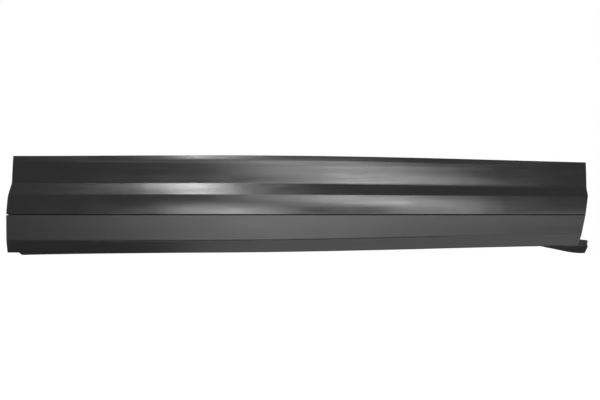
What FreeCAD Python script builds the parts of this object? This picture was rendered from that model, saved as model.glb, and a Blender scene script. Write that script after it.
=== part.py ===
"""A front door molding: one long moulded panel with its clips, seals and tape.

The frame has X along the door, positive to the right seen from outside, Y
into the door and Z up. The door skin is the plane Y = 0. The origin is where
the main locating pin meets that skin, at the height of the groove.
"""
import FreeCAD, Part
import math
import os
import re
import Sketcher

Vector = FreeCAD.Vector
ALONG_DOOR = FreeCAD.Rotation(Vector(1, 1, 1), 120)
FACE_ON = FreeCAD.Rotation(Vector(1, 0, 0), 90)
STATIONS = ("left", "midleft", "middle", "midright", "right")
MIDDLE = 2
CLIP_COUNT = 8
TONGUE_START = "(right_reach - tongue_run)"
TONGUE_END = "(right_reach + tongue_overrun)"

SIZES = {
    # Reach of the panel to each side, and how far the end stations lie beyond
    "left_reach": 523.3, "right_reach": 521.9, "end_margin": 17.4,
    # Heights of the top edge, of the step's head and foot and of the bottom
    # edge, each with its rise at the five section stations
    "top_height": 106.7, "top_left": -0.3, "top_midleft": 0.6, "top_middle": 0.0,
    "top_midright": -5.1, "top_right": -12.5,
    "head_height": 56.4, "head_left": 1.1, "head_midleft": 0.8, "head_middle": 0.0,
    "head_midright": -4.4, "head_right": -9.9,
    "foot_height": 35.5, "foot_left": 0.8, "foot_midleft": 0.7, "foot_middle": 0.0,
    "foot_midright": -1.0, "foot_right": -2.0,
    "bottom_height": -66.8, "bottom_left": -1.2, "bottom_midleft": -2.0,
    "bottom_middle": 0.0, "bottom_midright": 6.0, "bottom_right": 10.8,
    # Drop of the flange's back edge below the bottom edge
    "droop_left": 7.2, "droop_midleft": 1.9, "droop_middle": 0.6,
    "droop_midright": 0.6, "droop_right": 0.6,
    # How far each line of the section stands out from the door skin
    "lip_depth": 5.0, "bead_depth": 12.0, "head_depth": 16.0,
    "foot_depth": 29.5, "belly_depth": 32.0, "crease_depth": 30.5,
    "toe_depth": 21.0, "end_bow": 5.0,
    # Section details
    "bead_height": 12.0, "land_height": 10.0, "roll_height": 22.0,
    "groove_width": 1.8, "groove_deep": 1.8, "lip_round": 1.2,
    "bead_round": 8.0, "head_round": 6.0, "foot_round": 7.0,
    "toe_round": 5.0, "inner_round": 2.5,
    # Walls
    "wall": 2.8, "end_wall": 2.4, "flange_thick": 2.6, "flange_reach": 14.0,
    # End cuts, as seen from the front
    "left_upper_inset": 6.8, "left_top_inset": 8.6,
    "left_knee_inset": 2.2, "left_knee_height": 30.0, "end_round": 30.0,
    "right_knee_height": 36.0, "right_groove_inset": 5.2, "right_toe_inset": 13.2,
    "right_toe_height": -41.0, "right_foot_inset": 17.0, "right_toe_round": 8.0,
    # Drop of the flange at the left end, and the tongue at the right end
    "flange_setback": 20.0, "notch_depth": 14.0,
    "tongue_overrun": 2.1, "tongue_run": 82.0, "tongue_drop": 14.3,
    "tongue_front": 18.0, "tongue_lean": 5.0,
    "tongue_rise": 10.7, "nib_reach": 2.0, "nib_round": 0.5,
    # Ribs behind the faces
    "rib_thick": 1.8, "rib_back": 5.0,
    "upper_rib_height": 44.0, "lower_rib_height": -16.0,
    # Clip towers
    "clip_end_inset": 67.6, "clip_height": 21.0, "tower_width": 26.0,
    "tower_height": 22.0, "tower_wall": 2.0, "plate_back": 6.0,
    "plate_thick": 2.0, "eye_radius": 3.75,
    # Retaining clips and their seals
    "clip_gap": 0.1, "head_width": 15.0, "head_thick": 2.0,
    "neck_broad": 3.2, "neck_narrow": 1.35,
    "skirt_width": 19.0, "skirt_cut": 6.0, "skirt_thick": 1.6,
    "stem_width": 5.6, "stem_thick": 4.6, "wing_gap": 1.4, "barb_width": 9.2,
    "barb_root": 1.4, "barb_rise": 2.1, "barb_flat": 1.4, "barb_length": 7.0,
    "stem_reach": 13.0, "tip_width": 3.0,
    "seal_radius": 8.6, "seal_bore": 4.0,
    # Locating pins
    "pin_radius": 3.5, "pin_reach": 8.0, "pin_tip": 1.6, "tip_radius": 2.4, "pin_boss": 6.0,
    "boss_back": 2.0,
    # Holes in the flange for the fixings into the door's underside
    "hole_radius": 3.6, "hole_end_inset": 121.9, "hole_back": 6.0,
    # Foam tape
    "tape_thick": 2.0, "tape_width": 7.0, "tape_top_inset": 1.5,
    "tape_end_inset": 22.0, "tape_split": 12.0,
}


def cells(text):
    """The same formula with each name read from the sheet of sizes."""
    return re.sub(r"[a-z][a-z_]+", r"Sizes.\g<0>", text)


def bind(item, name, text):
    item.setExpression(name, cells(text))


def make_sheet(doc):
    sheet = doc.addObject("Spreadsheet::Sheet", "Sizes")
    for row, (alias, size) in enumerate(SIZES.items(), start=1):
        sheet.set(f"A{row}", alias)
        sheet.set(f"B{row}", str(size))
        sheet.setAlias(f"B{row}", alias)
    doc.recompute()
    return sheet


def rounded_corner(before, corner, after, radius):
    """Tangent points, centre and sweep of the arc that rounds one corner."""
    back = (before - corner).normalize()
    ahead = (after - corner).normalize()
    half = back.getAngle(ahead) / 2
    reach = radius / math.tan(half)
    middle = (back + ahead).normalize() * (radius / math.sin(half))
    return corner + back * reach, corner + ahead * reach, corner + middle


def add_arc(sketch, start, end, centre, radius):
    turn = (start - centre).cross(end - centre).z
    first, last = (start, end) if turn > 0 else (end, start)
    angles = [math.atan2(p.y - centre.y, p.x - centre.x) for p in (first, last)]
    circle = Part.Circle(centre, Vector(0, 0, 1), radius)
    arc = sketch.addGeometry(Part.ArcOfCircle(circle, angles[0], angles[1]))
    return arc, (1 if turn > 0 else 2), (2 if turn > 0 else 1)


def draw_outline(sketch, corners):
    """A closed outline of straight edges whose corners, and the radius that
    rounds each of them, are formulas on the sheet."""
    places = [Vector(*(sketch.evalExpression(cells(text)) for text in corner[:2]))
              for corner in corners]
    radii = [sketch.evalExpression(cells(corner[2])) if len(corner) > 2 else 0
             for corner in corners]
    count = len(corners)
    starts, ends, centres = list(places), list(places), [None] * count
    for i, radius in enumerate(radii):
        if radius:
            ends[i], starts[i], centres[i] = rounded_corner(
                places[i - 1], places[i], places[(i + 1) % count], radius)
    lines = [sketch.addGeometry(Part.LineSegment(starts[i], ends[(i + 1) % count]))
             for i in range(count)]
    for i, corner in enumerate(corners):
        before, after = lines[i - 1], lines[i]
        point, vertex = after, 1
        if radii[i]:
            arc, first, last = add_arc(sketch, ends[i], starts[i], centres[i], radii[i])
            point = sketch.addGeometry(Part.Point(places[i]), True)
            sketch.addConstraint([
                Sketcher.Constraint("Tangent", before, 2, arc, first),
                Sketcher.Constraint("Tangent", arc, last, after, 1),
                Sketcher.Constraint("PointOnObject", point, 1, before),
                Sketcher.Constraint("PointOnObject", point, 1, after)])
            size = sketch.addConstraint(Sketcher.Constraint("Radius", arc, radii[i]))
            bind(sketch, f"Constraints[{size}]", corner[2])
        else:
            sketch.addConstraint(Sketcher.Constraint("Coincident", before, 2, after, 1))
        for kind, text, place in zip(("DistanceX", "DistanceY"), corner,
                                     (places[i].x, places[i].y)):
            size = sketch.addConstraint(
                Sketcher.Constraint(kind, -1, 1, point, vertex, place))
            bind(sketch, f"Constraints[{size}]", text)


def height(line, at):
    """Height of a line of the section at one station."""
    return f"({line}_height + {line}_{at})"


def place_along(share, inset):
    """X at a share of the way from the middle to the end of that side, less an
    inset from that end. A negative share lies to the left."""
    reach = "left_reach" if share < 0 else "right_reach"
    return f"({reach} - ({inset})) * {share}"


def station_place(number):
    return place_along((number - MIDDLE) / MIDDLE, "-end_margin")


def clip_line_place(step):
    """X of the clips at odd steps from the middle, and of what lies midway
    between two of them at even steps."""
    return place_along(step / (CLIP_COUNT - 1), "clip_end_inset")


def section_sketch(doc, name, number, corners):
    """A section across the panel at one station: Y to the right, Z up."""
    sketch = doc.addObject("Sketcher::SketchObject", name)
    sketch.Placement = FreeCAD.Placement(Vector(), ALONG_DOOR)
    bind(sketch, "Placement.Base.x", station_place(number))
    draw_outline(sketch, corners)
    return sketch


def front_sketch(doc, name, corners):
    """An outline seen from the front: X to the right, Z up."""
    sketch = doc.addObject("Sketcher::SketchObject", name)
    sketch.Placement = FreeCAD.Placement(Vector(), FACE_ON)
    draw_outline(sketch, corners)
    return sketch


def out(depth, number):
    """Y of a line of the section that stands out by a depth, less the bow that
    brings the faces towards the door at the ends."""
    share = ((number - MIDDLE) / MIDDLE) ** 2
    return f"end_bow * {share} - ({depth})"


def outer_section(number):
    at = STATIONS[number]
    top, bottom = height("top", at), height("bottom", at)
    return [
        ("-tape_thick", top),
        ("-lip_depth", top, "lip_round"),
        (out("bead_depth", number), f"{top} - bead_height", "bead_round"),
        (out("head_depth", number), height("head", at), "head_round"),
        (out("foot_depth", number), height("foot", at), "foot_round"),
        (out("belly_depth", number), "groove_width / 2"),
        (out("belly_depth - groove_deep", number), "0 * groove_width"),
        (out("belly_depth", number), "-groove_width / 2"),
        (out("crease_depth", number), f"{bottom} + roll_height"),
        (out("toe_depth", number), bottom, "toe_round"),
        ("flange_reach", f"{bottom} - droop_{at}"),
        ("flange_reach", f"{bottom} - droop_{at} + flange_thick"),
        ("-tape_thick", f"{bottom} + 3 * flange_thick"),
    ]


def cavity_section(number):
    at = STATIONS[number]
    ceiling = f"{height('top', at)} - land_height"
    bottom = height("bottom", at)
    floor_back = f"{bottom} - droop_{at} + flange_thick"
    bump = "groove_width / 2 + wall"
    return [
        ("2 * flange_reach", ceiling),
        (out("bead_depth - wall", number), ceiling, "inner_round"),
        (out("head_depth - wall", number), height("head", at), "head_round"),
        (out("foot_depth - wall", number), height("foot", at), "foot_round"),
        (out("belly_depth - wall", number), f"{bump} + groove_deep"),
        (out("belly_depth - wall - groove_deep", number), bump),
        (out("belly_depth - wall - groove_deep", number), f"-({bump})"),
        (out("belly_depth - wall", number), f"-({bump} + groove_deep)"),
        (out("crease_depth - wall", number), f"{bottom} + roll_height"),
        (out("toe_depth - wall", number), f"{bottom} + flange_thick", "inner_round"),
        ("flange_reach", floor_back),
        ("2 * flange_reach", floor_back),
    ]


def loft(doc, name, sections):
    """A solid carried smoothly through the five sections."""
    sketches = [section_sketch(doc, f"{name}_{at}", number, sections(number))
                for number, at in enumerate(STATIONS)]
    item = doc.addObject("Part::Loft", name)
    item.Sections = sketches
    item.Solid = True
    item.Ruled = False
    return item


def end_outline(inset):
    """The panel's front outline between its two end cuts, drawn in from them by
    an inset."""
    left = f"-left_reach + {inset}"
    right = f"right_reach - ({inset})"
    above = "top_height + 2 * bead_height"
    below = "bottom_height - 2 * roll_height"
    return [
        (f"{left} + left_top_inset", above),
        (f"{left} + left_upper_inset", height("head", "left"), "end_round"),
        (f"{left} + left_knee_inset", "left_knee_height", "end_round"),
        (left, "0 * groove_width", "end_round"),
        (left, below),
        (f"{right} - right_foot_inset", below),
        (f"{right} - right_foot_inset", height("bottom", "right")),
        (f"{right} - right_toe_inset", "right_toe_height", "right_toe_round"),
        (f"{right} - right_groove_inset", "0 * groove_width", "end_round"),
        (right, "right_knee_height", "end_round"),
        (right, above),
    ]


def through(doc, name, outline):
    """An outline carried through the whole depth of the molding."""
    item = doc.addObject("Part::Extrusion", name)
    item.Base = front_sketch(doc, f"{name}_outline", outline)
    item.DirMode = "Custom"
    item.Dir = Vector(0, 1, 0)
    item.Solid = True
    bind(item, "LengthFwd", "3 * flange_reach")
    bind(item, "LengthRev", "2 * belly_depth")
    return item


def boolean(doc, kind, name, *items):
    """Cut and Common take two items; MultiFuse and MultiCommon take many."""
    item = doc.addObject(f"Part::{kind}", name)
    if kind in ("Cut", "Common"):
        item.Base, item.Tool = items
    else:
        item.Shapes = list(items)
    return item


def box(doc, name, low, high):
    """A box between two corners, each of three formulas."""
    item = doc.addObject("Part::Box", name)
    for axis, size, near, far in zip("xyz", ("Length", "Width", "Height"), low, high):
        bind(item, f"Placement.Base.{axis}", near)
        bind(item, size, f"({far}) - ({near})")
    return item


def rod(doc, name, radius, place, end):
    """A cylinder into the door, from one depth to another."""
    item = doc.addObject("Part::Cylinder", name)
    item.Placement = FreeCAD.Placement(Vector(), FreeCAD.Rotation(Vector(1, 0, 0), -90))
    for axis, text in zip("xyz", place):
        bind(item, f"Placement.Base.{axis}", text)
    bind(item, "Radius", radius)
    bind(item, "Height", f"({end}) - ({place[1]})")
    return item


def clip_places():
    return [clip_line_place(step) for step in range(1 - CLIP_COUNT, CLIP_COUNT, 2)]


def clip_tower(doc, number, x):
    """A doghouse open at its foot. Its plate has a keyhole that the clip's neck
    slides up into."""
    name = f"tower_{number}"
    foot = "clip_height - tower_height / 2"
    head = "clip_height + tower_height / 2"
    block = box(doc, f"{name}_block",
                (f"{x} - tower_width / 2", "-2 * belly_depth", foot),
                (f"{x} + tower_width / 2", "-plate_back", head))
    room = box(doc, f"{name}_room",
               (f"{x} - tower_width / 2 + tower_wall", "-3 * belly_depth",
                f"{foot} - tower_wall"),
               (f"{x} + tower_width / 2 - tower_wall", "-plate_back - plate_thick",
                f"{head} - tower_wall"))
    slot = box(doc, f"{name}_slot",
               (f"{x} - eye_radius", "-2 * plate_back",
                f"{foot} - tower_wall"),
               (f"{x} + eye_radius", "0 * plate_back", "clip_height"))
    eye = rod(doc, f"{name}_eye", "eye_radius",
              (x, "-2 * plate_back", "clip_height"), "0 * plate_back")
    space = boolean(doc, "MultiFuse", f"{name}_space", room, slot, eye)
    return boolean(doc, "Cut", name, block, space)


def cross_ribs(doc):
    """Upright ribs midway between the towers."""
    ribs = []
    for number, step in enumerate(range(2 - CLIP_COUNT, CLIP_COUNT - 1, 2), 1):
        x = clip_line_place(step)
        ribs.append(box(doc, f"cross_rib_{number}",
                        (f"{x} - rib_thick / 2", "-2 * belly_depth", "lower_rib_height"),
                        (f"{x} + rib_thick / 2", "-rib_back", "top_height")))
    return ribs


def long_rib(doc, name, height):
    """A level rib that runs from end wall to end wall."""
    return box(doc, name,
               ("-left_reach", "-2 * belly_depth", f"{height} - rib_thick / 2"),
               ("right_reach", "-rib_back", f"{height} + rib_thick / 2"))


def locating_pin(doc, name, x):
    """A round pin with a tapered tip, on a boss that rises from the face."""
    boss = rod(doc, f"{name}_boss", "pin_boss", (x, "-2 * belly_depth", "0 * wall"),
               "-boss_back")
    shank = rod(doc, f"{name}_shank", "pin_radius", (x, "-pin_boss", "0 * wall"),
                "pin_reach")
    tip = doc.addObject("Part::Cone", f"{name}_tip")
    tip.Placement = FreeCAD.Placement(Vector(), FreeCAD.Rotation(Vector(1, 0, 0), -90))
    bind(tip, "Placement.Base.x", x)
    bind(tip, "Placement.Base.y", "pin_reach")
    bind(tip, "Radius1", "pin_radius")
    bind(tip, "Radius2", "tip_radius")
    bind(tip, "Height", "pin_tip")
    return boss, shank, tip


RIGHT_BOTTOM = height("bottom", "right")
TONGUE_TOP = f"({RIGHT_BOTTOM} + tongue_rise)"


def tongue_section(doc, name, share, drop):
    """The flange at one place along the tongue, dropped at its back edge."""
    sketch = doc.addObject("Sketcher::SketchObject", name)
    sketch.Placement = FreeCAD.Placement(Vector(), ALONG_DOOR)
    x = f"({TONGUE_START} + (tongue_run + tongue_overrun) * {share})"
    bind(sketch, "Placement.Base.x", x)
    front = "tongue_lean - toe_depth"
    last, next_to_last = station_place(MIDDLE + 2), station_place(MIDDLE + 1)
    foot = (f"{RIGHT_BOTTOM} + (bottom_midright - bottom_right)"
            f" * ({last} - {x}) / ({last} - {next_to_last})")
    draw_outline(sketch, [
        (front, foot),
        ("flange_reach", f"{foot} - ({drop})"),
        ("flange_reach", f"{foot} - ({drop}) + flange_thick"),
        (front, f"{foot} + flange_thick"),
    ])
    return sketch


def tongue(doc):
    """The flange's tail: it drops away under the right end, runs on past the
    end cut, and turns up in a short leaning face."""
    shares = ((0, "droop_right"), (0.36, "tongue_drop * 0.45"),
              (0.72, "tongue_drop * 0.9"), (1, "tongue_drop"))
    sketches = [tongue_section(doc, f"tail_{number}", share, drop)
                for number, (share, drop) in enumerate(shares)]
    tail = doc.addObject("Part::Loft", "tail")
    tail.Sections = sketches
    tail.Solid = True
    tail.Ruled = False
    face = doc.addObject("Sketcher::SketchObject", "tongue_face_section")
    face.Placement = FreeCAD.Placement(Vector(), ALONG_DOOR)
    bind(face, "Placement.Base.x", "right_reach - right_foot_inset - 2 * end_wall")
    draw_outline(face, [
        ("-tongue_front", RIGHT_BOTTOM),
        ("-tongue_front + flange_thick", RIGHT_BOTTOM),
        ("-tongue_front + tongue_lean + flange_thick", f"{TONGUE_TOP} + flange_thick"),
        ("-tongue_front + tongue_lean", f"{TONGUE_TOP} + flange_thick"),
    ])
    lip = doc.addObject("Part::Extrusion", "tongue_face")
    lip.Base = face
    lip.DirMode = "Custom"
    lip.Dir = Vector(1, 0, 0)
    lip.Solid = True
    bind(lip, "LengthFwd", "tongue_overrun + right_foot_inset + 2 * end_wall")
    whole = boolean(doc, "MultiFuse", "tongue_whole", tail, lip)
    keep = through(doc, "tongue_keep", [
        (TONGUE_START, f"{RIGHT_BOTTOM} - 3 * tongue_drop"),
        (TONGUE_END, f"{RIGHT_BOTTOM} - 3 * tongue_drop"),
        (TONGUE_END, f"{RIGHT_BOTTOM} - flange_thick"),
        (f"{TONGUE_END} - nib_reach", f"{RIGHT_BOTTOM} + flange_thick / 4"),
        (f"{TONGUE_END} - nib_reach", f"{TONGUE_TOP} - 2 * flange_thick"),
        (TONGUE_END, f"{TONGUE_TOP} - 1.4 * flange_thick", "nib_round"),
        (f"{TONGUE_END} - flange_thick", f"{TONGUE_TOP} - flange_thick / 4"),
        ("right_reach - right_toe_inset", f"{TONGUE_TOP} + flange_thick / 4"),
        (TONGUE_START, f"{TONGUE_TOP} + flange_thick / 4"),
    ])
    return boolean(doc, "Common", "tongue", whole, keep)


def tongue_room(doc):
    """Where the plain flange stops and the tongue takes its place."""
    return box(doc, "tongue_room",
               (TONGUE_START, "tongue_lean - toe_depth + flange_thick",
                f"{height('bottom', 'midright')} - tongue_drop"),
               (TONGUE_END, "3 * flange_reach",
                f"{RIGHT_BOTTOM} + flange_thick + tongue_lean / 8"))


def flange_holes(doc):
    """Round holes, upright, for the fixings into the door's underside."""
    holes = []
    for number, share in enumerate((-1, -0.5, 0, 0.5, 1), 1):
        hole = doc.addObject("Part::Cylinder", f"flange_hole_{number}")
        bind(hole, "Placement.Base.x", place_along(share, "hole_end_inset"))
        bind(hole, "Placement.Base.y", "hole_back")
        bind(hole, "Placement.Base.z", "bottom_height - 2 * roll_height")
        bind(hole, "Radius", "hole_radius")
        bind(hole, "Height", "3 * roll_height")
        holes.append(hole)
    return holes


def flange_notch(doc):
    """The flange stops short of the left end cut."""
    left_bottom = height("bottom", "left")
    return box(doc, "flange_notch",
               ("-left_reach - end_wall", "-notch_depth",
                f"{left_bottom} - 2 * roll_height"),
               ("-left_reach + flange_setback", "3 * flange_reach",
                f"{left_bottom} + 3 * flange_thick"))


def molding_panel(doc):
    """The moulding itself: faces, flange, end walls, ribs, towers and pins."""
    outer = loft(doc, "outer_form", outer_section)
    cavity = loft(doc, "cavity_form", cavity_section)
    body = boolean(doc, "Common", "trimmed_form", outer,
                   through(doc, "end_cuts", end_outline("0 * end_wall")))
    hollow = boolean(doc, "Common", "trimmed_cavity", cavity,
                     through(doc, "end_walls", end_outline("end_wall")))
    whole_shell = boolean(doc, "Cut", "whole_shell", body, hollow)
    shell = boolean(doc, "Cut", "shell", whole_shell, tongue_room(doc))
    pins = [locating_pin(doc, "main_pin", clip_line_place(0)),
            locating_pin(doc, "end_pin", clip_line_place(CLIP_COUNT - 2))]
    inside = [clip_tower(doc, number, x) for number, x in enumerate(clip_places(), 1)]
    inside += cross_ribs(doc)
    inside.append(long_rib(doc, "upper_rib", "upper_rib_height"))
    inside.append(long_rib(doc, "lower_rib", "lower_rib_height"))
    inside += [pin[0] for pin in pins]
    web = boolean(doc, "MultiFuse", "web", *inside)
    backing = boolean(doc, "Common", "backing", web, body)
    ends = [item for pin in pins for item in pin[1:]]
    full = boolean(doc, "MultiFuse", "full_panel", shell, backing, tongue(doc), *ends)
    openings = boolean(doc, "MultiFuse", "flange_openings",
                       flange_notch(doc), *flange_holes(doc))
    return boolean(doc, "Cut", "molding_panel", full, openings)


def origin_plane(body, role):
    return next(item for item in body.Origin.OriginFeatures if item.Role == role)


def clip_body(doc, label, x):
    """An empty body at a clip's place: its Y axis points into the door."""
    body = doc.addObject("PartDesign::Body", label)
    body.Label = label
    bind(body, "Placement.Base.x", x)
    bind(body, "Placement.Base.z", "clip_height")
    return body


def slab(body, name, corners, thick):
    """An outline seen from above, across and into the door, made as thick as
    given about the clip's own level plane."""
    sketch = body.newObject("Sketcher::SketchObject", f"{body.Name}_{name}_outline")
    sketch.AttachmentSupport = [(origin_plane(body, "XY_Plane"), "")]
    sketch.MapMode = "FlatFace"
    draw_outline(sketch, corners)
    pad = body.newObject("PartDesign::Pad", f"{body.Name}_{name}")
    pad.Profile = sketch
    pad.Midplane = True
    bind(pad, "Length", thick)
    body.Tip = pad
    return pad


def plate(body, name, half_width, near, far, thick):
    return slab(body, name, [(f"-({half_width})", near), (half_width, near),
                             (half_width, far), (f"-({half_width})", far)], thick)


def retaining_clip(doc, number, x):
    """A push-in clip: head in the tower, neck in the keyhole, skirt against the
    plate, and an arrow stem with two sprung wings through the door skin."""
    body = clip_body(doc, f"retaining_clip_{number}", x)
    inner = "-(plate_back + plate_thick + clip_gap)"
    outer = "clip_gap - plate_back"
    seat = f"{outer} + skirt_thick"
    plate(body, "head", "head_width / 2", f"{inner} - head_thick", inner, "head_width")
    plate(body, "neck", "neck_broad", inner, outer, "2 * neck_narrow")
    plate(body, "neck_web", "neck_narrow", inner, outer, "2 * neck_broad")
    plate(body, "skirt", "skirt_width / 2", outer, seat, "skirt_width - skirt_cut")
    plate(body, "skirt_sides", "skirt_width / 2 - skirt_cut / 2", outer, seat,
          "skirt_width")
    slab(body, "stem", [
        ("-stem_width / 2", seat),
        ("-wing_gap / 2", seat),
        ("-wing_gap / 2", "stem_reach - 2 * wing_gap"),
        ("wing_gap / 2", "stem_reach - 2 * wing_gap"),
        ("wing_gap / 2", seat),
        ("stem_width / 2", seat),
        ("stem_width / 2", "barb_root"),
        ("barb_width / 2", "barb_root + barb_rise"),
        ("barb_width / 2", "barb_root + barb_rise + barb_flat"),
        ("stem_width / 2 - wing_gap / 4", "barb_root + barb_length"),
        ("tip_width / 2", "stem_reach"),
        ("-tip_width / 2", "stem_reach"),
        ("-(stem_width / 2 - wing_gap / 4)", "barb_root + barb_length"),
        ("-barb_width / 2", "barb_root + barb_rise + barb_flat"),
        ("-barb_width / 2", "barb_root + barb_rise"),
        ("-stem_width / 2", "barb_root"),
    ], "stem_thick")
    return body


def clip_seal(doc, number, x):
    """A soft ring round the stem, between the clip's skirt and the door skin."""
    body = clip_body(doc, f"clip_seal_{number}", x)
    seat = "clip_gap - plate_back + skirt_thick"
    sketch = body.newObject("Sketcher::SketchObject", f"{body.Name}_profile")
    sketch.AttachmentSupport = [(origin_plane(body, "XY_Plane"), "")]
    sketch.MapMode = "FlatFace"
    draw_outline(sketch, [
        ("seal_bore", seat),
        ("seal_radius", seat),
        ("seal_radius", "0 * seal_radius"),
        ("seal_bore", "0 * seal_radius"),
    ])
    turn = body.newObject("PartDesign::Revolution", f"{body.Name}_turn")
    turn.Profile = sketch
    turn.ReferenceAxis = (sketch, ["V_Axis"])
    turn.Angle = 360
    body.Tip = turn
    return body


def tape_strip(doc, label, places):
    """Foam tape that follows the panel's top edge from station to station. Each
    place gives X and the height of the top edge there."""
    body = doc.addObject("PartDesign::Body", label)
    body.Label = label
    sketch = body.newObject("Sketcher::SketchObject", f"{label}_outline")
    sketch.AttachmentSupport = [(origin_plane(body, "XZ_Plane"), "")]
    sketch.MapMode = "FlatFace"
    upper = [(x, f"{top} - tape_top_inset") for x, top in places]
    lower = [(x, f"{top} - tape_top_inset - tape_width") for x, top in places]
    draw_outline(sketch, upper + lower[::-1])
    pad = body.newObject("PartDesign::Pad", f"{label}_pad")
    pad.Profile = sketch
    bind(pad, "Length", "tape_thick")
    body.Tip = pad
    return body


def tape_strips(doc):
    """Two strips that meet near the middle of the door."""
    left_end = "left_reach - left_top_inset - tape_end_inset"
    right_end = "right_reach - tape_end_inset"
    left = tape_strip(doc, "tape_strip_left", [
        (f"-({left_end})", height("top", "left")),
        (station_place(MIDDLE - 1), height("top", "midleft")),
        ("-tape_split / 2", height("top", "middle"))])
    right = tape_strip(doc, "tape_strip_right", [
        ("tape_split / 2", height("top", "middle")),
        (station_place(MIDDLE + 1), height("top", "midright")),
        (right_end, height("top", "right"))])
    return [left, right]


def build():
    doc = FreeCAD.newDocument("door_molding")
    make_sheet(doc)
    pieces = [molding_panel(doc)]
    for number, x in enumerate(clip_places(), 1):
        pieces.append(retaining_clip(doc, number, x))
        pieces.append(clip_seal(doc, number, x))
    pieces += tape_strips(doc)
    doc.recompute()
    return doc, pieces


def check(doc, pieces):
    """Stops on any feature that failed and any piece that isn't sound."""
    for item in doc.Objects:
        if {"Invalid", "Error"} & set(item.State):
            raise RuntimeError(f"{item.Name} failed: {item.State}")
    for piece in pieces:
        if piece.Shape.isNull() or not piece.Shape.isValid():
            raise RuntimeError(f"{piece.Label} isn't a sound solid")


def write(pieces):
    os.makedirs("parts", exist_ok=True)
    for piece in pieces:
        piece.Shape.exportStep(f"parts/{piece.Label}.step")
        print(piece.Label, len(piece.Shape.Solids), round(piece.Shape.Volume))


document, sub_parts = build()
check(document, sub_parts)
write(sub_parts)
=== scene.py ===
"""A front door molding in black plastic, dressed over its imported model.

Lengths are in millimetres until a mesh is made, and in metres from there on.
X runs along the door, Y into it and Z up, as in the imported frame.
"""
import math

import bpy
import numpy as np
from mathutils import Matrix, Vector


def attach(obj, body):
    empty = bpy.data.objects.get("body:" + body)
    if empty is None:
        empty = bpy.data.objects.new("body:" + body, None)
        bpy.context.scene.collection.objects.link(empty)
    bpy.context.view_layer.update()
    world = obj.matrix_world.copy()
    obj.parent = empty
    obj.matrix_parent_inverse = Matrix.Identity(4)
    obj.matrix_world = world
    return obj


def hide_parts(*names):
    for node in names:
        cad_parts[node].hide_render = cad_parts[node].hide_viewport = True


MM = 0.001
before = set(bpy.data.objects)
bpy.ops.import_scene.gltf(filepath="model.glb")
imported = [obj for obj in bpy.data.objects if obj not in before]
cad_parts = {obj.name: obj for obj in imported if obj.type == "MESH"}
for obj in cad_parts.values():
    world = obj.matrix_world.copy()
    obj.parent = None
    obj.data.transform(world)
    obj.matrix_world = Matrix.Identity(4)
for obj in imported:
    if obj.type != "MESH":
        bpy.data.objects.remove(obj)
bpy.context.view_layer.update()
scene = bpy.context.scene

# The molding's own sizes, as in its source.
LEFT_REACH, RIGHT_REACH, END_MARGIN = 523.3, 521.9, 17.4
STATIONS = np.array([-1.0, -0.5, 0.0, 0.5, 1.0])
STATION_X = np.where(STATIONS < 0, LEFT_REACH + END_MARGIN, RIGHT_REACH + END_MARGIN) * STATIONS
LINES = {
    "top": 106.7 + np.array([-0.3, 0.6, 0.0, -5.1, -12.5]),
    "head": 56.4 + np.array([1.1, 0.8, 0.0, -4.4, -9.9]),
    "foot": 35.5 + np.array([0.8, 0.7, 0.0, -1.0, -2.0]),
    "bottom": -66.8 + np.array([-1.2, -2.0, 0.0, 6.0, 10.8]),
    "droop": np.array([7.2, 1.9, 0.6, 0.6, 0.6]),
    "bow": 5.0 * STATIONS ** 2,
}
FLANGE_REACH, TAPE_THICK = 14.0, 2.0
ROLL_HEIGHT, GROOVE_HALF, GROOVE_DEEP = 22.0, 1.15, 1.8
LIP, BEAD, HEAD, FOOT, BELLY, CREASE, TOE = 5.0, 12.0, 16.0, 29.5, 32.0, 30.5, 21.0
BEAD_HEIGHT, BULGE = 12.0, 31.75
LIP_ROUND, BEAD_ROUND, FOOT_ROUND, BULGE_ROUND = 1.2, 34.0, 4.0, 240.0
GROOVE_EDGE_ROUND, GROOVE_ROOT_ROUND, CREASE_ROUND, TOE_ROUND = 0.35, 0.25, 9.0, 5.0
CREASE_DEEP, CREASE_HALF = 1.15, 0.62
FLANGE_SETBACK, FLANGE_STEP_Y = 20.0, -14.0
TONGUE_RUN, TONGUE_DROP, TONGUE_OVERRUN, TONGUE_STEP_Y = 82.0, 14.3, 2.1, -13.5
HOLE_RADIUS, HOLE_END_INSET, HOLE_BACK = 3.6, 121.9, 6.0
CLIP_COUNT, CLIP_END_INSET, CLIP_Z = 8, 67.6, 21.0
CLIP_X = [((RIGHT_REACH if step > 0 else LEFT_REACH) - CLIP_END_INSET) * step / (CLIP_COUNT - 1)
          for step in range(1 - CLIP_COUNT, CLIP_COUNT, 2)]
SEAL_BORE, SEAL_RADIUS, SEAL_THICK = 4.0, 8.6, 4.3

# The step's head is crisp at the left and broad at the right: its radius there
# and there, and the X between which it changes.
HEAD_ROUNDS, HEAD_CHANGES = (2.5, 9.0), (-250, 450)

# The end cuts seen face on: each corner's distance in from the reach, its
# height and its radius. They run past the panel above and below.
LEFT_CUT = ((8.6, 130.7, 0), (6.8, 57.5, 30), (2.2, 30.0, 30), (0.0, 0.0, 30), (0.0, -110.0, 0))
RIGHT_CUT = ((0.0, 130.7, 0), (0.0, 36.0, 30), (5.2, 0.0, 30), (13.2, -41.0, 8),
             (17.0, -56.0, 0), (17.0, -110.0, 0))

# How finely the outer section is drawn: points on each corner's arc, points
# along each side between two corners, and how far each side swells.
ARC_STEPS = (1, 5, 13, 9, 9, 17, 4, 4, 4, 15, 9, 1)
SIDE_STEPS = (1, 3, 14, 8, 2, 2, 2, 2, 22, 12, 8)
CROWNS = (0, 0, 0.2, 0.1, 0, 0, 0, 0, 0.12, 0.15, 0)
CUT_STEPS = 9

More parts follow.
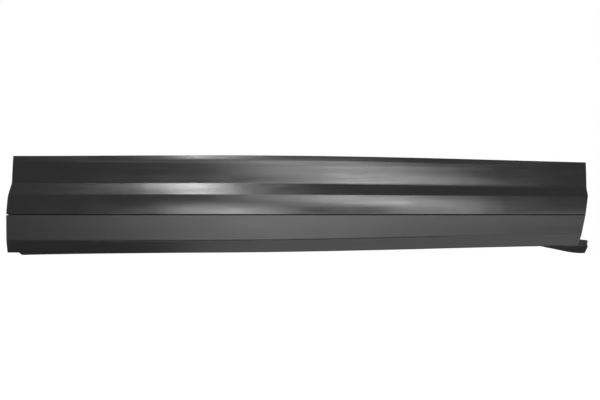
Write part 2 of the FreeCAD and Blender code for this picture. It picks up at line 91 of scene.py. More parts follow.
# The fine front: its wall and columns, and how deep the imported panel's own
# front is sunk behind it, less near the groove and more near the crease.
FRONT_THICK, FRONT_COLUMNS = 2.2, 265
OUTER_NEAR, END_SINK = 1.1, 0.35
SUNK, SUNK_AT_GROOVE, SUNK_AT_CREASE = 0.6, 0.3, 1.7
GROOVE_ZONE, CREASE_ZONE = 3.0, 2.5
NOTCH_DEEP, NOTCH_HALF = 4.2, 1.6
PAST = 60.0
WELD_REACH = 2e-6
SHARP, BEVEL_SHARP = 32, 35

# The finishes. Heights and depths that bound them are in metres, since materials
# read them from the object's own coordinates.
PLASTIC = (0.018, 0.018, 0.0185)
SATIN, MATTE, WAVES = 0.18, 0.31, 0.07
SATIN_UNEVEN, MATTE_UNEVEN = 0.5, 0.18
SATIN_PEBBLE, MATTE_PEBBLE = 0.004, 0.05
FINISH_BORDER = 0.0004
# Painted shade in the groove: the heights from its middle at which it starts and is full, the
# share of the colour it leaves, the roughness it adds, and the depths between which it fades in on
# the front.
GROOVE_SHADE_STARTS, GROOVE_SHADE_FULL, GROOVE_SHADE_TONE, GROOVE_SHADE_ROUGH = 0.0014, 0.0008, 0.2, 0.5
GROOVE_SHADE_BACK, GROOVE_SHADE_FRONT = -0.02, -0.022
NYLON, RUBBER, FOAM = (0.72, 0.71, 0.66), (0.05, 0.05, 0.05), (0.12, 0.12, 0.125)

# The photograph: its scale, its middle, and where along it the crease above the
# bottom roll starts, is full, wanes and ends, in pixels.
IMAGE_WIDTH, MM_PER_PIXEL, MIDDLE_PIXEL = 600, 1.804, 297.0
CREASE_STARTS, CREASE_FULL, CREASE_WANES, CREASE_ENDS = 72, 145, 430, 485

# The camera looks level at the panel's face, from this far in front of it.
SENSOR, FACE_DISTANCE, CAMERA_PLACE = 36.0, 2400, (4.15, -2415, 26.34)

# Light that reaches the part from all round, and the floor under it.
FILL, FLOOR_GLOW, FLOOR_TONE = 0.58, 0.65, 0.8
FLOOR_HALF, FLOOR_LEVEL = 9000.0, -450.0


def station_value(name, x):
    """A section value at X: the fourth-degree curve through its five stations."""
    scale = LEFT_REACH
    return np.polyval(np.polyfit(STATION_X / scale, LINES[name], 4), x / scale)


def ranged_x(x, low, high, first, last):
    """first up to low and last from high, with 3s^2 - 2s^3 between them."""
    share = np.clip((x - low) / (high - low), 0, 1)
    return first + (last - first) * share ** 2 * (3 - 2 * share)


def rounded_path(corners, radii, steps):
    """Points along a path with rounded corners, for every row of corners.

    corners is (rows, count, 2). A corner of radius r touches its two sides at
    r / tan(half its angle), and its points are centre + (sin((1-s)t) u +
    sin(s t) w) / sin(t), where u and w point from the centre to the two
    touching places and t is the angle between them.
    """
    parts = []
    for k, radius in enumerate(radii):
        here = corners[:, k]
        if np.ndim(radius) == 0 and not radius:
            parts.append(here[:, None])
            continue
        back, ahead = corners[:, k - 1] - here, corners[:, k + 1] - here
        back = back / np.linalg.norm(back, axis=1, keepdims=True)
        ahead = ahead / np.linalg.norm(ahead, axis=1, keepdims=True)
        half = np.arccos(np.clip((back * ahead).sum(1), -1, 1)) / 2
        middle = back + ahead
        middle /= np.linalg.norm(middle, axis=1, keepdims=True)
        centre = here + middle * (radius / np.sin(half))[:, None]
        reach = (radius / np.tan(half))[:, None]
        u, w = here + back * reach - centre, here + ahead * reach - centre
        turn = (math.pi - 2 * half)[:, None, None]
        share = np.linspace(0, 1, steps[k])[None, :, None]
        arc = np.sin((1 - share) * turn) * u[:, None] + np.sin(share * turn) * w[:, None]
        parts.append(centre[:, None] + arc / np.sin(turn))
    return parts


def fill_sides(parts, steps, crowns):
    """The same path with points along its straight sides, each side swelling
    outwards by crown * 16 s^2 (1-s)^2."""
    pieces = []
    for k, part in enumerate(parts):
        pieces.append(part)
        if k + 1 == len(parts):
            break
        start, end = part[:, -1:], parts[k + 1][:, :1]
        share = np.linspace(0, 1, steps[k] + 2)[None, 1:-1, None]
        run = end - start
        length = np.linalg.norm(run, axis=2, keepdims=True)
        inward = np.concatenate([-run[..., 1:], run[..., :1]], 2) / length
        swell = crowns[k] * 16 * share ** 2 * (1 - share) ** 2
        pieces.append(start + run * share - inward * swell)
    return np.concatenate(pieces, 1)


def section_corners(x, grooved=True):
    """Corners of the outer section at X, from the back of the top edge, down the
    front and back along the flange: Y and Z, each with its radius."""
    v = {name: station_value(name, x) for name in LINES}
    level = np.zeros_like(x)

    def at(depth, z):
        return np.stack([v["bow"] - depth, z], 1)

    def fixed(y, z):
        return np.stack([level + y, z], 1)

    groove = [
        (at(BELLY, level + GROOVE_HALF), GROOVE_EDGE_ROUND),
        (at(BELLY - GROOVE_DEEP, level), GROOVE_ROOT_ROUND),
        (at(BELLY, level - GROOVE_HALF), GROOVE_EDGE_ROUND),
    ]
    return [
        (fixed(-TAPE_THICK, v["top"]), 0),
        (fixed(-LIP, v["top"]), LIP_ROUND),
        (at(BEAD, v["top"] - BEAD_HEIGHT), BEAD_ROUND),
        (at(HEAD, v["head"]), ranged_x(x, *HEAD_CHANGES, *HEAD_ROUNDS)),
        (at(FOOT, v["foot"]), FOOT_ROUND),
        (at(BULGE, v["foot"] / 2), BULGE_ROUND),
        *(groove if grooved else [(at(BELLY, level), 0)]),
        (at(CREASE, v["bottom"] + ROLL_HEIGHT), CREASE_ROUND),
        (at(TOE, v["bottom"]), TOE_ROUND),
        (fixed(FLANGE_REACH, v["bottom"] - v["droop"]), 0),
    ]


def crease_depth(x, z):
    """How far the crease above the bottom roll sinks into the face: a bell curve
    deep * exp(-(distance / half)^2) across it, faded in and out along it."""
    start, full, wane, end = ((pixel - MIDDLE_PIXEL) * MM_PER_PIXEL for pixel in
                              (CREASE_STARTS, CREASE_FULL, CREASE_WANES, CREASE_ENDS))
    fade = ranged_x(x, start, full, 0, 1) * ranged_x(x, wane, end, 1, 0)
    line = station_value("bottom", x) + ROLL_HEIGHT
    return CREASE_DEEP * fade * np.exp(-((z - line) / CREASE_HALF) ** 2)


def outer_rows(x):
    """Y and Z of the fine outer section at each X: (columns, rows, 2)."""
    corners, radii = zip(*section_corners(x))
    parts = rounded_path(np.stack(corners, 1), radii, ARC_STEPS)
    rows = fill_sides(parts, SIDE_STEPS, CROWNS)
    rows[..., 0] += crease_depth(x[:, None], rows[..., 1])
    return rows


def inner_rows(x, depth, count):
    """The same section without its groove, set back by a depth and with its
    points spread evenly: what the fine front is closed with inside."""
    corners = np.stack([corner for corner, _ in section_corners(x, grooved=False)], 1)
    run = np.diff(corners, axis=1)
    run /= np.linalg.norm(run, axis=2, keepdims=True)
    inward = np.concatenate([-run[..., 1:], run[..., :1]], 2)
    first, last = inward[:, :1], inward[:, -1:]
    before = np.concatenate([first, inward], 1)
    after = np.concatenate([inward, last], 1)
    both = before + after
    both /= (both * before).sum(2, keepdims=True)
    moved = corners + depth * both
    moved[..., 0] = np.minimum(moved[..., 0], FLANGE_REACH)
    length = np.linalg.norm(np.diff(moved, axis=1), axis=2).mean(0)
    place = np.concatenate([[0], np.cumsum(length)])
    want = np.linspace(0, place[-1], count)
    side = np.clip(np.searchsorted(place, want, "right") - 1, 0, len(length) - 1)
    share = ((want - place[side]) / length[side])[None, :, None]
    return moved[:, side] * (1 - share) + moved[:, side + 1] * share


def end_cut(z, side):
    """X of the end cut at a height, from its rounded outline seen face on."""
    reach, cut = (-LEFT_REACH, LEFT_CUT) if side < 0 else (RIGHT_REACH, RIGHT_CUT)
    outline = [(reach - side * inset, height) for inset, height, _ in cut]
    radii = [radius for _, _, radius in cut]
    parts = rounded_path(np.array([outline]), radii, (CUT_STEPS,) * len(radii))
    path = np.concatenate(parts, 1)[0]
    return np.interp(-z, -path[:, 1], path[:, 0])


def grid_mesh(name, sheets):
    """A closed mesh from an outer and an inner sheet of points, (columns, rows,
    3) each: the two sheets and the four strips that join their borders."""
    outer, inner = sheets
    columns, rows = outer.shape[:2]
    index = np.arange(columns * rows).reshape(columns, rows)
    a, b = index, index + columns * rows

    def quads(p, q, r, s):
        return np.stack([p, q, r, s], -1).reshape(-1, 4)

    faces = [
        quads(a[:-1, :-1], a[:-1, 1:], a[1:, 1:], a[1:, :-1]),
        quads(b[:-1, :-1], b[1:, :-1], b[1:, 1:], b[:-1, 1:]),
        quads(a[:-1, 0], a[1:, 0], b[1:, 0], b[:-1, 0]),
        quads(a[1:, -1], a[:-1, -1], b[:-1, -1], b[1:, -1]),
        quads(a[0, 1:], a[0, :-1], b[0, :-1], b[0, 1:]),
        quads(a[-1, :-1], a[-1, 1:], b[-1, 1:], b[-1, :-1]),
    ]
    points = np.concatenate([outer.reshape(-1, 3), inner.reshape(-1, 3)]) * MM
    return mesh_object(name, points, np.concatenate(faces))


def mesh_object(name, points, faces):
    """A mesh object at the origin from arrays of points and of equal faces."""
    mesh = bpy.data.meshes.new(name)
    sides = faces.shape[1]
    mesh.vertices.add(len(points))
    mesh.vertices.foreach_set("co", points.astype(np.float32).ravel())
    mesh.loops.add(faces.size)
    mesh.loops.foreach_set("vertex_index", faces.astype(np.int32).ravel())
    mesh.polygons.add(len(faces))
    mesh.polygons.foreach_set("loop_start", np.arange(0, faces.size, sides, dtype=np.int32))
    mesh.update(calc_edges=True)
    mesh.validate()
    item = bpy.data.objects.new(name, mesh)
    scene.collection.objects.link(item)
    return item


def box_object(name, low, high):
    """A box between its lowest and its highest corner."""
    corners = np.array([[(low, high)[i][0], (low, high)[j][1], (low, high)[k][2]]
                        for i in (0, 1) for j in (0, 1) for k in (0, 1)])
    faces = np.array([[0, 1, 3, 2], [4, 6, 7, 5], [0, 4, 5, 1], [2, 3, 7, 6],
                      [0, 2, 6, 4], [1, 5, 7, 3]])
    return mesh_object(name, corners * MM, faces)


def wedge_object(name, x_open, x_tip, half, y_low, y_high):
    """A wedge lying along Y, open to -X, whose tip is at the groove's height."""
    outline = [(x_open, -half), (x_tip, 0.0), (x_open, half)]
    corners = np.array([(x, y, z) for y in (y_low, y_high) for x, z in outline])
    mesh = bpy.data.meshes.new(name)
    mesh.from_pydata((corners * MM).tolist(), [],
                     [(0, 1, 2), (3, 5, 4), (0, 3, 4, 1), (1, 4, 5, 2), (2, 5, 3, 0)])
    item = bpy.data.objects.new(name, mesh)
    scene.collection.objects.link(item)
    return item


def rod_object(name, centres, radius, low, high, sides=40):
    """Upright rods at X, Y centres: two rings each, with caps of one face."""
    angle = np.arange(sides) * 2 * math.pi / sides
    mesh = bpy.data.meshes.new(name)
    points, faces = [], []
    for i, (x, y) in enumerate(centres):
        ring = np.stack([x + radius * np.cos(angle), y + radius * np.sin(angle)], 1)
        points += [np.column_stack([ring, np.full(sides, low)]),
                   np.column_stack([ring, np.full(sides, high)])]
        first = 2 * i * sides
        below, above = first + np.arange(sides), first + sides + np.arange(sides)
        faces += np.stack([below, np.roll(below, -1), np.roll(above, -1), above], 1).tolist()
        faces += [below[::-1].tolist(), above.tolist()]
    mesh.from_pydata((np.concatenate(points) * MM).tolist(), [], faces)
    item = bpy.data.objects.new(name, mesh)
    scene.collection.objects.link(item)
    return item


# The front panel.

def table_of(section):
    """A section worked out once a millimetre along X, and read between two of
    those places in a straight line: gives Y and Z of row r at X[..., r]."""
    places = np.arange(-LEFT_REACH - 3, RIGHT_REACH + 4)
    known = section(places)
    row = np.arange(known.shape[1])

    def read(x):
        left = np.clip((x - places[0]).astype(int), 0, len(places) - 2)
        share = (x - places[left])[..., None]
        return known[left, row] * (1 - share) + known[left + 1, row] * share

    return read, len(row)


def front_sheet(section, columns):
    """One sheet of the front: every row of the section from the left end cut to
    the right one, whose X is found by four turns of x = cut(z(x))."""
    read, rows = table_of(section)
    ends = []
    for side, start in ((-1, -LEFT_REACH), (1, RIGHT_REACH)):
        x = np.full(rows, start)
        for _ in range(4):
            x = end_cut(read(x)[:, 1], side)
        ends.append(x)
    share = np.linspace(0, 1, columns)[:, None]
    x = ends[0] * (1 - share) + ends[1] * share
    return np.concatenate([x[..., None], read(x)], 2)


def sunk_copy(node):
    """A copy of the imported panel, merged, whose points on the outer section are
    moved into the wall, so that the fine front covers them.

    A point belongs to the outer section where it lies within OUTER_NEAR of the
    rounded section at its X. It moves to the nearest place on that section, plus
    the depth that SUNK and its two fellows give along the normal there. Points of
    the two end cuts move in by END_SINK, and none passes the flange's back edge.
    """
    mesh = node.data.copy()
    item = bpy.data.objects.new("panel_back", mesh)
    scene.collection.objects.link(item)
    merge = item.modifiers.new("merge", "WELD")
    merge.merge_threshold = WELD_REACH
    item = applied(item)
    mesh = item.data
    points = np.empty(len(mesh.vertices) * 3, np.float32)
    mesh.vertices.foreach_get("co", points)
    points = points.reshape(-1, 3).astype(float) / MM
    corners, radii = zip(*section_corners(points[:, 0]))
    path = np.concatenate(rounded_path(np.stack(corners, 1), radii, ARC_STEPS), 1)
    start, run = path[:, :-1], np.diff(path, axis=1)
    length = np.maximum((run ** 2).sum(2), 1e-9)
    offset = points[:, None, 1:] - start
    share = np.clip((offset * run).sum(2) / length, 0, 1)
    away = np.linalg.norm(offset - run * share[..., None], axis=2)
    nearest = away.argmin(1)
    row = np.arange(len(points))
    side = run[row, nearest] / np.sqrt(length[row, nearest])[:, None]
    inward = np.column_stack([-side[:, 1], side[:, 0]])
    on_front = away[row, nearest] < OUTER_NEAR
    crease_line = station_value("bottom", points[:, 0]) + ROLL_HEIGHT
    far = np.where(np.abs(points[:, 2] - crease_line) < CREASE_ZONE, SUNK_AT_CREASE, SUNK)
    far = np.where(np.abs(points[:, 2]) < GROOVE_ZONE, SUNK_AT_GROOVE, far)[:, None]
    touch = start[row, nearest] + run[row, nearest] * share[row, nearest][:, None]
    for end in (-1, 1):
        at_end = np.abs(points[:, 0] - end_cut(points[:, 2], end)) < 2 * END_SINK
        points[:, 0] -= end * END_SINK * at_end
    points[:, 1:] = np.where(on_front[:, None], touch + far * inward, points[:, 1:])
    points[:, 1] = np.minimum(points[:, 1], FLANGE_REACH)
    mesh.vertices.foreach_set("co", (points * MM).astype(np.float32).ravel())
    mesh.update()
    return item


def applied(item):
    """The object with its modifiers worked into a mesh of its own."""
    bpy.context.view_layer.update()
    graph = bpy.context.evaluated_depsgraph_get()
    mesh = bpy.data.meshes.new_from_object(item.evaluated_get(graph))
    item.modifiers.clear()
    item.data = mesh
    return item


def combine(base, tool, operation):
    """base with a closed tool added or taken away, which is then removed."""
    step = base.modifiers.new(tool.name, "BOOLEAN")
    step.operation = operation
    step.solver = "MANIFOLD"
    step.object = tool
    applied(base)
    bpy.data.objects.remove(tool)
    return base


def molding_panel():
    """The whole moulding: the fine front, cut as the flange is, joined with the
    packed panel's back."""
    outer = front_sheet(outer_rows, FRONT_COLUMNS)
    count = outer.shape[1]
    inner = front_sheet(lambda x: inner_rows(x, FRONT_THICK, count), FRONT_COLUMNS)
    panel = grid_mesh("molding_panel_finished", (outer, inner))
    left_bottom, *_, midright_bottom, right_bottom = LINES["bottom"]
    step_room = box_object(
        "flange_notch", (-LEFT_REACH - 2.4, FLANGE_STEP_Y, left_bottom - 44),
        (-LEFT_REACH + FLANGE_SETBACK, PAST, left_bottom + 7.8))
    tongue_room = box_object(
        "tongue_room", (RIGHT_REACH - TONGUE_RUN, TONGUE_STEP_Y, midright_bottom - TONGUE_DROP),
        (RIGHT_REACH + TONGUE_OVERRUN, PAST, right_bottom + 3.225))
    holes = [(((RIGHT_REACH if share > 0 else LEFT_REACH) - HOLE_END_INSET) * share, HOLE_BACK)
             for share in STATIONS]
    combine(panel, step_room, "DIFFERENCE")
    combine(panel, tongue_room, "DIFFERENCE")
    combine(panel, rod_object("flange_holes", holes, HOLE_RADIUS, -110, -40), "DIFFERENCE")
    combine(panel, sunk_copy(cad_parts["molding_panel"]), "UNION")
    combine(panel, wedge_object("end_notch", -LEFT_REACH - 1.0, -LEFT_REACH + NOTCH_DEEP,
                                NOTCH_HALF, -BELLY - 6, FLANGE_REACH + 6), "DIFFERENCE")
    return panel


# Materials.

def socket_of(sockets, name):
    """The enabled socket of that name."""
    return next(s for s in sockets if s.name == name and s.enabled)


def add(tree, kind, values=None, **settings):
    """A node with its settings, and its inputs set or linked by name or place."""
    node = tree.nodes.new(kind)
    for key, value in settings.items():
        setattr(node, key, value)
    for key, value in (values or {}).items():
        target = node.inputs[key] if isinstance(key, int) else socket_of(node.inputs, key)
        if isinstance(value, bpy.types.NodeSocket):
            tree.links.new(value, target)
        else:
            target.default_value = value
    return node


def math_node(tree, operation, a, b=0.0):
    """The result of a sum on two values or sockets."""
    return add(tree, "ShaderNodeMath", {0: a, 1: b}, operation=operation).outputs[0]


def ranged(tree, value, low, high, to_low=0.0, to_high=1.0, smooth=True):
    """A value moved from one range to another, and held inside it."""
    kind = "SMOOTHSTEP" if smooth else "LINEAR"
    return add(tree, "ShaderNodeMapRange",
               {"Value": value, "From Min": low, "From Max": high,
                "To Min": to_low, "To Max": to_high}, interpolation_type=kind).outputs[0]


def noise(tree, place, scale, detail=2.0, roughness=0.5):
    """A noise value at a place, whose features are about 1 / scale metres wide."""
    return add(tree, "ShaderNodeTexNoise",
               {"Vector": place, "Scale": scale, "Detail": detail,
                "Roughness": roughness}).outputs[0]


def stretched(tree, place, by):
    """A place with each axis multiplied, so that a pattern on it is drawn out."""
    return add(tree, "ShaderNodeVectorMath", {0: place, 1: by}, operation="MULTIPLY").outputs[0]


def new_group(name, inputs, outputs):
    """A shader node group with named float inputs and outputs."""
    tree = bpy.data.node_groups.new(name, "ShaderNodeTree")
    for label, value in inputs.items():
        item = tree.interface.new_socket(label, in_out="INPUT", socket_type="NodeSocketFloat")
        item.default_value = value
    for label in outputs:
        tree.interface.new_socket(label, in_out="OUTPUT", socket_type="NodeSocketFloat")
    return tree, tree.nodes.new("NodeGroupInput"), tree.nodes.new("NodeGroupOutput")


def moulding_marks():
    """Tone and polish of moulded plastic: cloudy patches, flow lines drawn out
    along the part, and sparse dust."""
    tree, given, out = new_group("moulding_marks", {"Cloud": 0.1, "Flow": 0.1, "Dust": 0.1},
                                 ["Tone", "Polish"])
    place = add(tree, "ShaderNodeTexCoord").outputs["Object"]
    cloud = noise(tree, stretched(tree, place, (1.0, 1.0, 2.6)), 9.0, 3.0, 0.55)
    flow = noise(tree, stretched(tree, place, (0.06, 1.0, 1.0)), 280.0, 0.0)
    dust = ranged(tree, noise(tree, place, 620.0, 1.0), 0.70, 0.78)
    centred_cloud = math_node(tree, "SUBTRACT", cloud, 0.5)
    centred_flow = math_node(tree, "SUBTRACT", flow, 0.5)
    cloudy = math_node(tree, "MULTIPLY", centred_cloud, given.outputs["Cloud"])
    drawn = math_node(tree, "MULTIPLY", centred_flow, given.outputs["Flow"])
    sway = math_node(tree, "ADD", cloudy, drawn)
    speck = math_node(tree, "MULTIPLY", dust, given.outputs["Dust"])
    tree.links.new(math_node(tree, "ADD", math_node(tree, "ADD", sway, speck), 1.0),
                   out.inputs["Tone"])
    tree.links.new(math_node(tree, "MULTIPLY", sway, -1.0), out.inputs["Polish"])
    return tree


def fine_grain():
    """Height of a fine pebbled grain over slow waves of the surface, which run
    upright as the melt's flow leaves them. Depths are in millimetres."""
    tree, given, out = new_group("fine_grain", {"Size": 900.0, "Pebble": 0.03, "Waves": 0.01},
                                 ["Height"])
    place = add(tree, "ShaderNodeTexCoord").outputs["Object"]
    pebble = add(tree, "ShaderNodeTexVoronoi", {"Vector": place, "Scale": given.outputs["Size"]},
                 feature="SMOOTH_F1").outputs["Distance"]
    wave = noise(tree, stretched(tree, place, (1.0, 1.0, 0.3)), 42.0, 2.0)
    pebbled = math_node(tree, "MULTIPLY", pebble, given.outputs["Pebble"])
    waved = math_node(tree, "MULTIPLY", wave, given.outputs["Waves"])
    tree.links.new(math_node(tree, "ADD", pebbled, waved), out.inputs["Height"])
    return tree


MARKS, GRAIN = moulding_marks(), fine_grain()


def new_material(name):
    """A material with a bare Principled BSDF: itself, its tree and the shader."""
    material = bpy.data.materials.new(name)
    material.use_nodes = True
    tree = material.node_tree
    tree.nodes.clear()
    shader = add(tree, "ShaderNodeBsdfPrincipled")
    add(tree, "ShaderNodeOutputMaterial", {"Surface": shader.outputs[0]})
    return material, tree, shader


def placed(tree, group, **values):
    """A shared group placed in a material, with its own values."""
    node = tree.nodes.new("ShaderNodeGroup")
    node.node_tree = group
    for label, value in values.items():
        node.inputs[label].default_value = value
    return node


def toned(tree, colour, tone):
    """A colour made lighter and darker by a value around one."""
    return add(tree, "ShaderNodeVectorMath", {0: colour, 1: tone}, operation="MULTIPLY").outputs[0]


def raise_grain(tree, shader, grain):
    """Lets a grain's height, in millimetres, turn the shader's normals."""
    bump = add(tree, "ShaderNodeBump", {"Strength": 1.0, "Distance": MM,
                                        "Height": grain.outputs["Height"]})
    tree.links.new(bump.outputs[0], shader.inputs["Normal"])


def panel_plastic():
    """Black moulded plastic: satin above the groove and grained below it, rougher
    in the groove, and darkened there with painted shade.

    The matte part stays rougher than about 0.28, where the denoiser changes what
    it takes for detail and would draw contours.
    """
    material, tree, shader = new_material("grained_plastic")
    place = add(tree, "ShaderNodeTexCoord").outputs["Object"]
    _, depth, height = add(tree, "ShaderNodeSeparateXYZ", {0: place}).outputs
    lower = ranged(tree, height, FINISH_BORDER, -FINISH_BORDER)
    marks = placed(tree, MARKS, Cloud=0.35, Flow=0.16, Dust=0.25)
    grain = placed(tree, GRAIN, Size=1100.0, Waves=WAVES)
    tree.links.new(ranged(tree, lower, 0, 1, SATIN_PEBBLE, MATTE_PEBBLE, False),
                   grain.inputs["Pebble"])
    # Painted shade: the colour darkens down in the groove on the front face, where the groove's
    # own shade falls, and the surface is rougher there.
    inside = ranged(tree, math_node(tree, "ABSOLUTE", height), GROOVE_SHADE_STARTS, GROOVE_SHADE_FULL)
    front = ranged(tree, depth, GROOVE_SHADE_BACK, GROOVE_SHADE_FRONT)
    groove_shade = math_node(tree, "MULTIPLY", inside, front)
    tone = math_node(tree, "MULTIPLY", marks.outputs["Tone"],
                     ranged(tree, groove_shade, 0, 1, 1.0, GROOVE_SHADE_TONE))
    tree.links.new(toned(tree, PLASTIC, tone), shader.inputs["Base Color"])
    polish = math_node(tree, "ADD", ranged(tree, lower, 0, 1, SATIN, MATTE, False),
                       math_node(tree, "MULTIPLY", groove_shade, GROOVE_SHADE_ROUGH))
    uneven = math_node(tree, "MULTIPLY", marks.outputs["Polish"],
                       ranged(tree, lower, 0, 1, SATIN_UNEVEN, MATTE_UNEVEN, False))
    tree.links.new(math_node(tree, "ADD", polish, uneven), shader.inputs["Roughness"])
    raise_grain(tree, shader, grain)
    return material


def plain_finish(name, colour, roughness, marks, grain_size, depth):
    """A finish of one colour with moulding marks, and a grain of a given size
    and depth in millimetres."""
    material, tree, shader = new_material(name)
    worn = placed(tree, MARKS, **marks)
    grain = placed(tree, GRAIN, Size=grain_size, Pebble=depth, Waves=WAVES)
    tree.links.new(toned(tree, colour, worn.outputs["Tone"]), shader.inputs["Base Color"])
    tree.links.new(math_node(tree, "ADD", worn.outputs["Polish"], roughness),
                   shader.inputs["Roughness"])
    raise_grain(tree, shader, grain)
    return material


# The part.

def finish(piece, material, slot, *nodes):
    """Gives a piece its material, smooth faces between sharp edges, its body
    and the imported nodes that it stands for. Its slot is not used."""
    piece.data.materials.clear()
    piece.data.materials.append(material)
    piece.data.polygons.foreach_set("use_smooth", np.ones(len(piece.data.polygons), bool))
    piece.data.set_sharp_from_angle(angle=math.radians(SHARP))
    shading = piece.modifiers.new("shading", "WEIGHTED_NORMAL")
    shading.mode = "FACE_AREA"
    shading.keep_sharp = True
    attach(piece, "root")
    if nodes:
        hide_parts(*nodes)
    return piece


def turned_ring(name, profile, middle):
    """A closed profile of radius and Y carried round an axis along Y:
    x = X0 + r cos a, z = Z0 + r sin a, y as the profile gives it."""
    sides = 48
    angle = np.arange(sides) * 2 * math.pi / sides
    radius, depth = profile[:, 0], profile[:, 1]
    points = np.stack([middle[0] + np.outer(np.cos(angle), radius),
                       np.broadcast_to(depth, (sides, len(depth))),
                       middle[1] + np.outer(np.sin(angle), radius)], 2)
    index = np.arange(sides * len(depth)).reshape(sides, -1)
    onward, next_row = np.roll(index, -1, 0), np.roll(index, -1, 1)
    faces = np.stack([next_row, np.roll(onward, -1, 1), onward, index], -1).reshape(-1, 4)
    return mesh_object(name, points.reshape(-1, 3) * MM, faces)


def seal_profile():
    """Radius and Y of a seal's section: a firm collar on the clip, a waist, and a
    lip that flares against the door skin. Its corners are rounded."""
    bore, reach, thick = SEAL_BORE, SEAL_RADIUS, SEAL_THICK
    corners = [(bore, -thick / 2), (bore, -thick), (bore + 3.0, -thick),
               (bore + 2.2, -thick + 2.0), (reach, -0.55), (reach, 0.0), (reach - 0.7, 0.0),
               (bore + 1.7, -1.3), (bore + 0.9, -0.9), (bore, -0.9)]
    radii = (0, 0.25, 0.5, 0.6, 0.15, 0.15, 0.3, 0.5, 0.3, 0.3)
    closed = np.array([corners + corners[:1]])
    steps = (1,) + (5,) * (len(radii) - 1) + (1,)
    path = np.concatenate(rounded_path(closed, radii + (0,), steps), 1)[0]
    return path[:-1]


def dressed(node, material, width):
    """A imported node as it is, with its doubles welded, its edges broken by a
    small rounding and its own material."""
    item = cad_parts[node]
    weld = item.modifiers.new("weld", "WELD")
    weld.merge_threshold = WELD_REACH
    round_edges = item.modifiers.new("edges", "BEVEL")
    round_edges.limit_method = "ANGLE"
    round_edges.angle_limit = math.radians(BEVEL_SHARP)
    round_edges.width = width * MM
    round_edges.segments = 2
    round_edges.harden_normals = False
    item.data.materials.clear()
    item.data.materials.append(material)
    return item


panel = finish(molding_panel(), panel_plastic(), "grained_plastic", "molding_panel")
nylon = plain_finish("clip_nylon", NYLON, 0.4, {"Cloud": 0.12, "Flow": 0.05, "Dust": 0.05},
                     700.0, 0.02)
rubber = plain_finish("seal_rubber", RUBBER, 0.6, {"Cloud": 0.4, "Flow": 0.1, "Dust": 0.9},
                      1500.0, 0.04)
foam = plain_finish("foam_tape", FOAM, 0.85, {"Cloud": 0.25, "Flow": 0.1, "Dust": 0.3},
                    1300.0, 0.15)
for number, clip_x in enumerate(CLIP_X, 1):
    dressed(f"retaining_clip_{number}", nylon, 0.15)
    finish(turned_ring(f"clip_seal_{number}_lipped", seal_profile(), (clip_x, CLIP_Z)),
           rubber, "seal_rubber", f"clip_seal_{number}")
for side in ("left", "right"):
    dressed(f"tape_strip_{side}", foam, 0.3)


# Stage, lamps and camera.

def white_where_seen(tree, otherwise, shown=1.0):
    """Strength for camera, glossy and transmission rays, and that for the rest."""
    path = add(tree, "ShaderNodeLightPath")
    seen = math_node(tree, "MAXIMUM", path.outputs["Is Camera Ray"],
                     math_node(tree, "MAXIMUM", path.outputs["Is Glossy Ray"],
                               path.outputs["Is Transmission Ray"]))
    return ranged(tree, seen, 0.0, 1.0, otherwise, shown, False)


def make_world():
    """White where it is seen, and an even fill for the rest."""
    world = bpy.data.worlds.new("studio")
    world.use_nodes = True
    tree = world.node_tree
    tree.nodes.clear()
    glow = add(tree, "ShaderNodeBackground", {"Color": (1, 1, 1, 1),
                                              "Strength": white_where_seen(tree, FILL)})
    add(tree, "ShaderNodeOutputWorld", {"Surface": glow.outputs[0]})
    scene.world = world


def make_floor():
    """A wide white floor well below the molding, which keeps its shadow."""
    half, level = FLOOR_HALF, FLOOR_LEVEL
    floor = mesh_object("floor", np.array([[-half, -half, level], [half, -half, level],
                                           [half, half, level], [-half, half, level]]) * MM,
                        np.array([[0, 1, 2, 3]]))
    material = bpy.data.materials.new("floor_white")
    material.use_nodes = True
    tree = material.node_tree
    tree.nodes.clear()
    plain = add(tree, "ShaderNodeBsdfDiffuse", {"Color": (FLOOR_TONE,) * 3 + (1,)})
    glow = add(tree, "ShaderNodeEmission", {"Strength": white_where_seen(tree, 0.0, FLOOR_GLOW)})
    both = add(tree, "ShaderNodeAddShader", {0: plain.outputs[0], 1: glow.outputs[0]})
    add(tree, "ShaderNodeOutputMaterial", {"Surface": both.outputs[0]})
    floor.data.materials.append(material)


def make_cards():
    """Dark cards that only reflections see, as studios hang round dark glossy
    parts. Each is a path of Y and Z carried along X, with its own brightness."""
    for name, glow, low, high, path in CARDS:
        material = bpy.data.materials.new(name)
        material.use_nodes = True
        tree = material.node_tree
        tree.nodes.clear()
        shine = add(tree, "ShaderNodeEmission", {"Strength": glow})
        add(tree, "ShaderNodeOutputMaterial", {"Surface": shine.outputs[0]})
        points = np.array([(x, y, z) for y, z in path for x in (low, high)])
        first = 2 * np.arange(len(path) - 1)[:, None]
        card = mesh_object(name, points, first + np.array([[0, 1, 3, 2]]))
        card.data.materials.append(material)
        card.visible_camera = card.visible_diffuse = card.visible_shadow = False


def make_lamp(name, place, size, power, toward=(0, -0.02, 0.02)):
    """A softbox at a place, in metres, that faces the molding."""
    data = bpy.data.lights.new(name, "AREA")
    data.shape = "RECTANGLE"
    data.size, data.size_y = size
    data.energy = power
    lamp = bpy.data.objects.new(name, data)
    scene.collection.objects.link(lamp)
    lamp.location = place
    away = np.array(place) - np.array(toward)
    lamp.rotation_euler = Vector(away).to_track_quat("Z", "Y").to_euler()
    return lamp


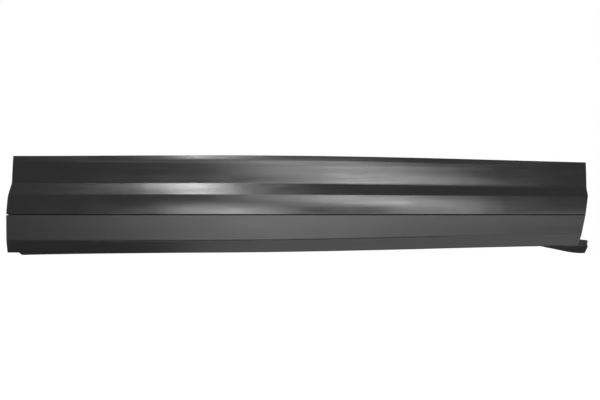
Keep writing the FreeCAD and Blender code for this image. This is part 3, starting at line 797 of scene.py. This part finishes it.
CARDS = (
    ("card_front", 0.01, -8.0, 8.0, [(-1.3, -0.44), (-7.5, -0.44), (-7.5, 8.0)]),
    ("card_ceiling", 0.11, -8.0, 8.0, [(-7.5, 8.0), (4.0, 8.0)]),
    ("card_left", 0.01, -4.0, -0.24, [(0.2, -0.44), (-1.3, -0.44)]),
    ("card_behind", 0.06, -4.0, 4.0, [(6.0, -0.441), (0.06, -0.441)]),
)
SOFTBOXES = (
    ("softbox_high", (0.14, -5.0, 2.88), (1.05, 3.85), 66),
    ("softbox_left", (-0.47, -5.0, 0.12), (0.4, 1.04), 20),
    ("softbox_right", (0.45, -5.0, 1.0), (0.6, 0.6), 10.8),
    ("softbox_far_right", (0.85, -5.0, 0.5), (0.5, 1.2), 13.4),
    ("softbox_low", (-0.08, -3.0, -0.25), (0.4, 0.25), 5.0),
    ("softbox_low_right", (0.6, -3.0, -0.25), (0.7, 0.25), 2.4),
    ("softbox_side", (1.2, -3.0, -0.15), (0.3, 0.3), 2.0),
    ("softbox_top", (-0.44, -1.0, 2.8), (0.25, 0.4), 10.3),
    ("softbox_top_front", (-0.44, -1.5, 2.8), (0.25, 0.4), 5.0),
    ("softbox_overhead", (-0.2, -2.9, 4.1), (1.3, 1.4), 9.5),
    ("softbox_high_right", (0.7, -5.0, 1.9), (0.7, 1.0), 4.3),
    ("softbox_wide", (0.0, -5.2, 3.8), (3.2, 1.8), 14.5),
    ("softbox_back", (0.0, 4.0, 2.6), (3.0, 1.5), 60),
)


def make_camera():
    """The photograph's camera. Its lens shows IMAGE_WIDTH pixels of MM_PER_PIXEL
    each at FACE_DISTANCE."""
    data = bpy.data.cameras.new("camera")
    data.sensor_width = SENSOR
    data.lens = SENSOR * FACE_DISTANCE / (IMAGE_WIDTH * MM_PER_PIXEL)
    data.clip_end = 100.0
    camera = bpy.data.objects.new("camera", data)
    scene.collection.objects.link(camera)
    camera.location = [place * MM for place in CAMERA_PLACE]
    camera.rotation_euler = (math.pi / 2, 0, 0)
    scene.camera = camera


make_world()
make_floor()
make_cards()
for name, place, size, power in SOFTBOXES:
    make_lamp(name, place, size, power)
make_camera()
scene.view_settings.view_transform = "Standard"
